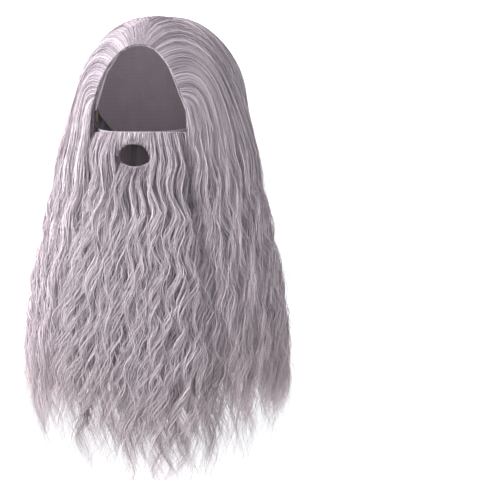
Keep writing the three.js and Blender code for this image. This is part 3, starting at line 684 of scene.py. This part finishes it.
def back_hair(name, seed, material):
    rng = np.random.default_rng(seed)
    strands = gather(rng, BACK_STRANDS, BACK_PATHS)
    start = 0.008 + np.where(rng.random(BACK_STRANDS) < 0.6, rng.uniform(0.0, 0.3, BACK_STRANDS), 0)
    line, outward, own_share = grow(rng, strands, BACK_PATHS, back_path, inside_of_wig, start)
    parts = [
        under_sheet(rng, BACK_PATHS, back_path, inside_of_wig, WIG_SHEET_BACK, 0.006),
        strand_part(rng, strands, line, outward, own_share, strand_widths(rng, BACK_STRANDS)),
    ]
    return object_from(name, parts, material)


def beard_hair(name, seed, material):
    rng = np.random.default_rng(seed)
    strands = gather(rng, BEARD_STRANDS, BEARD_PATHS)
    start = beard_start(rng, strands)
    line, outward, own_share = grow(rng, strands, BEARD_PATHS, beard_path, inside_of_beard, start)
    line = clear_of_mouth(line)
    parts = [
        under_sheet(rng, BEARD_PATHS, beard_path, inside_of_beard, BEARD_SHEET_BACK, 0, mouth=True),
        strand_part(rng, strands, line, outward, own_share, strand_widths(rng, BEARD_STRANDS)),
    ]
    return object_from(name, parts, material)


def loose_part(rng, hand, table, path, inside):
    """Finer strands that stand a little off the rest and soften the outline."""
    strands = gather(rng, LOOSE_STRANDS, table)
    start = rng.uniform(0.02, 0.5, LOOSE_STRANDS)
    if table is BEARD_PATHS:
        start = start + beard_start(rng, strands)
    line, outward, own_share = grow(rng, strands, table, path, inside, start, looseness=0.8)
    part = strand_part(rng, strands, line, outward, own_share, rng.uniform(*LOOSE_WIDTH, LOOSE_STRANDS))
    return flipped(part) if hand < 0 else part


def wig_loose(name, seed, material):
    rng = np.random.default_rng(seed)
    parts = [
        loose_part(rng, 1, SIDE_PATHS, side_path, inside_of_wig),
        loose_part(rng, -1, SIDE_PATHS, side_path, inside_of_wig),
        loose_part(rng, 1, BACK_PATHS, back_path, inside_of_wig),
    ]
    return object_from(name, parts, material)


def beard_loose(name, seed, material):
    rng = np.random.default_rng(seed)
    return object_from(name, [loose_part(rng, 1, BEARD_PATHS, beard_path, inside_of_beard)], material)


def moustache(name, seed, material):
    rng = np.random.default_rng(seed)
    count, steps = MOUSTACHE_STRANDS, 10
    share = np.linspace(0, 1, steps + 1)[None]
    half_angle = math.degrees(math.asin(MOUSTACHE_HALF_WIDTH / (FACE_REACH + HAIR_OVER_BROW)))
    across = rng.uniform(-1, 1, count)[:, None]
    beside = np.minimum(np.abs(across) * MOUSTACHE_HALF_WIDTH / (MOUTH_WIDTH / 2), 1)
    tip = MOUTH_DROP - MOUTH_HEIGHT / 2 * np.sqrt(1 - beside**2) + rng.uniform(-2.5, 1.5, count)[:, None]
    drop = mix(LIP_DROP + rng.uniform(0.4, 3, count)[:, None], tip, share)
    azimuth = across * half_angle * (0.97 + 0.02 * share) + rng.normal(0, 0.4, count)[:, None] * share
    inner = over_base(azimuth, drop, BASE_WALL + 0.6)
    outer = hair_point(azimuth, station_at(drop), 0)
    depth = rng.uniform(0.08, 0.42, count)[:, None] * (0.6 + 0.4 * np.sin(share * math.pi * 0.8))
    line = mix(inner, outer, depth[..., None])
    strands = {"tint": rng.normal(0, 0.08, count), "depth": 1 - rng.random(count)}
    own = np.broadcast_to(share, line.shape[:2])
    outward = unit(outer - inner)
    points = ribbons(rng, line, outward, rng.uniform(*MOUSTACHE_WIDTH, count), own)
    tints = strand_tints(rng, strands, own * 0.5 + 0.2, strands["depth"])
    front = mix(-half_angle, half_angle, np.linspace(0.01, 0.99, 20))[None].repeat(5, 0)
    level = mix(LIP_DROP + 1, MOUTH_DROP - MOUTH_HEIGHT / 2 - 1, np.linspace(0, 1, 5))[:, None].repeat(20, 1)
    low = over_base(front, level, BASE_WALL + 0.5)
    high = mix(low, hair_point(front, station_at(level), 0), 0.1)
    sheet_points, sheet_faces, sheet_map = sheet(high, low)
    # Painted shade: the sheet under the moustache strands is darkened like the sheets under the other hair.
    sheet_painted_shade = np.broadcast_to(HAIR_TONE * PAINTED_DEEP_SHADE, (len(sheet_points), 3))
    parts = [
        (sheet_points, sheet_faces, sheet_map, sheet_painted_shade),
        (points, ribbon_faces(count, steps), ribbon_map(count, steps), tints),
    ]
    return object_from(name, parts, material)


# Materials
def new_material(name):
    made = bpy.data.materials.new(name)
    made.use_nodes = True
    nodes = made.node_tree.nodes
    return made, nodes, made.node_tree.links, nodes["Principled BSDF"]


def scaled_coordinates(nodes, links, scale):
    place = nodes.new("ShaderNodeTexCoord")
    mapping = nodes.new("ShaderNodeMapping")
    mapping.inputs["Scale"].default_value = scale
    links.new(place.outputs["Object"], mapping.inputs["Vector"])
    return mapping.outputs["Vector"]


def along_strands(nodes, links, scale):
    """Places on the strands' map: across a strand, then along it."""
    place = nodes.new("ShaderNodeUVMap")
    place.uv_map = "OFBake"
    mapping = nodes.new("ShaderNodeMapping")
    mapping.inputs["Scale"].default_value = (*scale, 1)
    links.new(place.outputs["UV"], mapping.inputs["Vector"])
    return mapping.outputs["Vector"]


def noise(nodes, links, vector, scale, detail):
    made = nodes.new("ShaderNodeTexNoise")
    made.inputs["Scale"].default_value = scale
    made.inputs["Detail"].default_value = detail
    links.new(vector, made.inputs["Vector"])
    return made.outputs["Fac"]


def ranged(nodes, links, value, low, high):
    made = nodes.new("ShaderNodeMapRange")
    made.inputs["To Min"].default_value = low
    made.inputs["To Max"].default_value = high
    links.new(value, made.inputs["Value"])
    return made.outputs["Result"]


def multiplied(nodes, links, colour, level):
    made = nodes.new("ShaderNodeVectorMath")
    made.operation = "SCALE"
    links.new(colour, made.inputs[0])
    links.new(level, made.inputs["Scale"])
    return made.outputs["Vector"]


def bump(nodes, links, height, shader, strength, distance):
    made = nodes.new("ShaderNodeBump")
    made.inputs["Strength"].default_value = strength
    made.inputs["Distance"].default_value = distance
    links.new(height, made.inputs["Height"])
    links.new(made.outputs["Normal"], shader.inputs["Normal"])


# Streaks across and along the whole map of a piece
STREAKS = (MAP_COLUMNS * 2.6, (MAP_ROWS + 1) * 12)


def hair_material(name, level):
    made, nodes, links, shader = new_material(name)
    tint = nodes.new("ShaderNodeAttribute")
    tint.attribute_name = "tint"
    fine = noise(nodes, links, along_strands(nodes, links, STREAKS), 1, 2)
    streak = ranged(nodes, links, fine, 0.35 * level, 1.65 * level)
    links.new(multiplied(nodes, links, tint.outputs["Color"], streak), shader.inputs["Base Color"])
    links.new(ranged(nodes, links, fine, 0.46, 0.72), shader.inputs["Roughness"])
    shader.inputs["Specular IOR Level"].default_value = 0.3
    shader.inputs["Sheen Weight"].default_value = 0.1
    bump(nodes, links, fine, shader, 0.25, 0.0004)
    return made


def woven_material(name, colour, pitch, roughness, depth):
    """Cloth of crossing threads a pitch apart, with soft patches of lighter and darker yarn."""
    made, nodes, links, shader = new_material(name)
    place = scaled_coordinates(nodes, links, (1 / pitch, 1 / pitch, 1 / pitch))
    waves = []
    for direction in ("X", "Z"):
        wave = nodes.new("ShaderNodeTexWave")
        wave.bands_direction = direction
        wave.inputs["Scale"].default_value = 0.5
        wave.inputs["Distortion"].default_value = 0.4
        links.new(place, wave.inputs["Vector"])
        waves.append(wave.outputs["Fac"])
    weave = nodes.new("ShaderNodeMath")
    weave.operation = "MAXIMUM"
    links.new(waves[0], weave.inputs[0])
    links.new(waves[1], weave.inputs[1])
    patches = noise(nodes, links, scaled_coordinates(nodes, links, (1, 1, 1)), 60, 4)
    base = nodes.new("ShaderNodeMixRGB")
    base.inputs["Color1"].default_value = (*(0.72 * c for c in colour), 1)
    base.inputs["Color2"].default_value = (*(min(1.12 * c, 1) for c in colour), 1)
    links.new(weave.outputs["Value"], base.inputs["Fac"])
    level = ranged(nodes, links, patches, 0.85, 1.15)
    links.new(multiplied(nodes, links, base.outputs["Color"], level), shader.inputs["Base Color"])
    links.new(ranged(nodes, links, patches, roughness - 0.08, roughness + 0.08), shader.inputs["Roughness"])
    shader.inputs["Sheen Weight"].default_value = 0.15
    bump(nodes, links, weave.outputs["Value"], shader, 0.5, depth)
    return made


def floor_material():
    """Pale paper that glows a little far from the set, where the lamps don't reach."""
    made, nodes, links, shader = new_material("backdrop_paper")
    grain = noise(nodes, links, scaled_coordinates(nodes, links, (1, 1, 1)), 40, 3)
    base = nodes.new("ShaderNodeMixRGB")
    base.inputs["Color1"].default_value = (0.93, 0.93, 0.935, 1)
    base.inputs["Color2"].default_value = (0.97, 0.97, 0.975, 1)
    links.new(grain, base.inputs["Fac"])
    links.new(base.outputs["Color"], shader.inputs["Base Color"])
    shader.inputs["Roughness"].default_value = 0.9
    place = nodes.new("ShaderNodeTexCoord")
    distance = nodes.new("ShaderNodeVectorMath")
    distance.operation = "LENGTH"
    links.new(place.outputs["Object"], distance.inputs[0])
    glow = nodes.new("ShaderNodeMapRange")
    glow.inputs["From Min"].default_value = GLOW_START
    glow.inputs["From Max"].default_value = GLOW_FULL
    glow.inputs["To Max"].default_value = GLOW_STRENGTH
    links.new(distance.outputs["Value"], glow.inputs["Value"])
    shader.inputs["Emission Color"].default_value = (1, 1, 1, 1)
    links.new(glow.outputs["Result"], shader.inputs["Emission Strength"])
    return made


# Stage, light and camera
def towards(azimuth, elevation):
    a, e = math.radians(azimuth), math.radians(elevation)
    return Vector((math.sin(a) * math.cos(e), -math.cos(a) * math.cos(e), math.sin(e)))


def backdrop():
    """Floor that curves up into a wall behind the set."""
    profile = [(FLOOR_FRONT, FLOOR_LEVEL)]
    for k in range(13):
        angle = math.pi / 2 * k / 12
        along = BACKDROP_DISTANCE - BACKDROP_TURN * (1 - math.sin(angle))
        profile.append((along, FLOOR_LEVEL + BACKDROP_TURN * (1 - math.cos(angle))))
    profile.append((BACKDROP_DISTANCE, BACKDROP_TOP))
    behind = -towards(CAMERA_AZIMUTH, 0)
    across = Vector((math.cos(math.radians(CAMERA_AZIMUTH)), math.sin(math.radians(CAMERA_AZIMUTH)), 0))
    corners, faces = [], []
    for along, height in profile:
        for side in (-BACKDROP_HALF_WIDTH, BACKDROP_HALF_WIDTH):
            corners.append(behind * along + across * side + Vector((0, 0, height)))
    for k in range(len(profile) - 1):
        faces.append((2 * k, 2 * k + 1, 2 * k + 3, 2 * k + 2))
    mesh = bpy.data.meshes.new("backdrop")
    mesh.from_pydata([tuple(c) for c in corners], [], faces)
    for polygon in mesh.polygons:
        polygon.use_smooth = True
    mesh.materials.append(floor_material())
    made = bpy.data.objects.new("backdrop", mesh)
    bpy.context.scene.collection.objects.link(made)


def area_light(name, azimuth, elevation, distance, size, power, colour):
    data = bpy.data.lights.new(name, "AREA")
    data.shape = "DISK"
    data.size = size
    data.energy = power
    data.color = colour
    made = bpy.data.objects.new(name, data)
    back = towards(azimuth, elevation)
    made.location = TARGET + back * distance
    made.rotation_euler = back.to_track_quat("Z", "Y").to_euler()
    bpy.context.scene.collection.objects.link(made)


def lights():
    for name, values in LAMPS.items():
        area_light(name, *values)
    world = bpy.data.worlds.new("studio")
    world.use_nodes = True
    surround = world.node_tree.nodes["Background"]
    surround.inputs["Color"].default_value = (0.97, 0.975, 1, 1)
    surround.inputs["Strength"].default_value = 0.56
    bpy.context.scene.world = world


def camera():
    data = bpy.data.cameras.new("camera")
    data.sensor_width = 36
    data.lens = data.sensor_width * CAMERA_DISTANCE / FRAME_WIDTH
    data.clip_end = 50
    made = bpy.data.objects.new("camera", data)
    back = towards(CAMERA_AZIMUTH, CAMERA_ELEVATION)
    made.location = TARGET + back * CAMERA_DISTANCE
    made.rotation_euler = back.to_track_quat("Z", "Y").to_euler()
    bpy.context.scene.collection.objects.link(made)
    bpy.context.scene.camera = made


def dress(node, material):
    """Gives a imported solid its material."""
    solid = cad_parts[node]
    for index in range(len(solid.material_slots)):
        solid.material_slots[index].material = material


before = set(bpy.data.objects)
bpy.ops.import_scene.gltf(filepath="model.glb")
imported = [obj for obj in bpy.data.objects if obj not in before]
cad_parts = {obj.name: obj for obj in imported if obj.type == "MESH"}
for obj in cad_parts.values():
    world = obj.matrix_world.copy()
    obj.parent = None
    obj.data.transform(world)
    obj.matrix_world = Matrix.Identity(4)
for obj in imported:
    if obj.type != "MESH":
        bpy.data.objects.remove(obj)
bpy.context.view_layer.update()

bpy.context.scene.view_settings.view_transform = "Standard"
camera()
lights()
backdrop()

WIG_TONE = hair_material("wig_fibre", 1.03)
BEARD_TONE = hair_material("beard_fibre", 0.87)

pieces = [
    (side_hair("left_strands", 11, 1, WIG_TONE), "left_hair", "wig_hair"),
    (side_hair("right_strands", 12, -1, WIG_TONE), "right_hair", "wig_hair"),
    (back_hair("back_strands", 13, WIG_TONE), "back_hair", "wig_hair"),
    (beard_hair("beard_strands", 14, BEARD_TONE), "beard_hair", "beard_hair"),
    (moustache("moustache_strands", 15, BEARD_TONE), "moustache", "beard_hair"),
]
for piece, node, slot in pieces:
    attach(piece, "root")
    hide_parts(node)
for piece, slot in (
    (wig_loose("wig_loose_strands", 16, WIG_TONE), "wig_hair"),
    (beard_loose("beard_loose_strands", 17, BEARD_TONE), "beard_hair"),
):
    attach(piece, "root")

dress("wig_cap", woven_material("cap_net", (0.5, 0.45, 0.49), 0.0026, 0.8, 0.0008))
dress("beard_base", woven_material("beard_cloth", (0.4, 0.36, 0.39), 0.0014, 0.85, 0.0005))
dress("beard_elastic", woven_material("elastic_band", (0.58, 0.4, 0.26), 0.0012, 0.7, 0.0004))
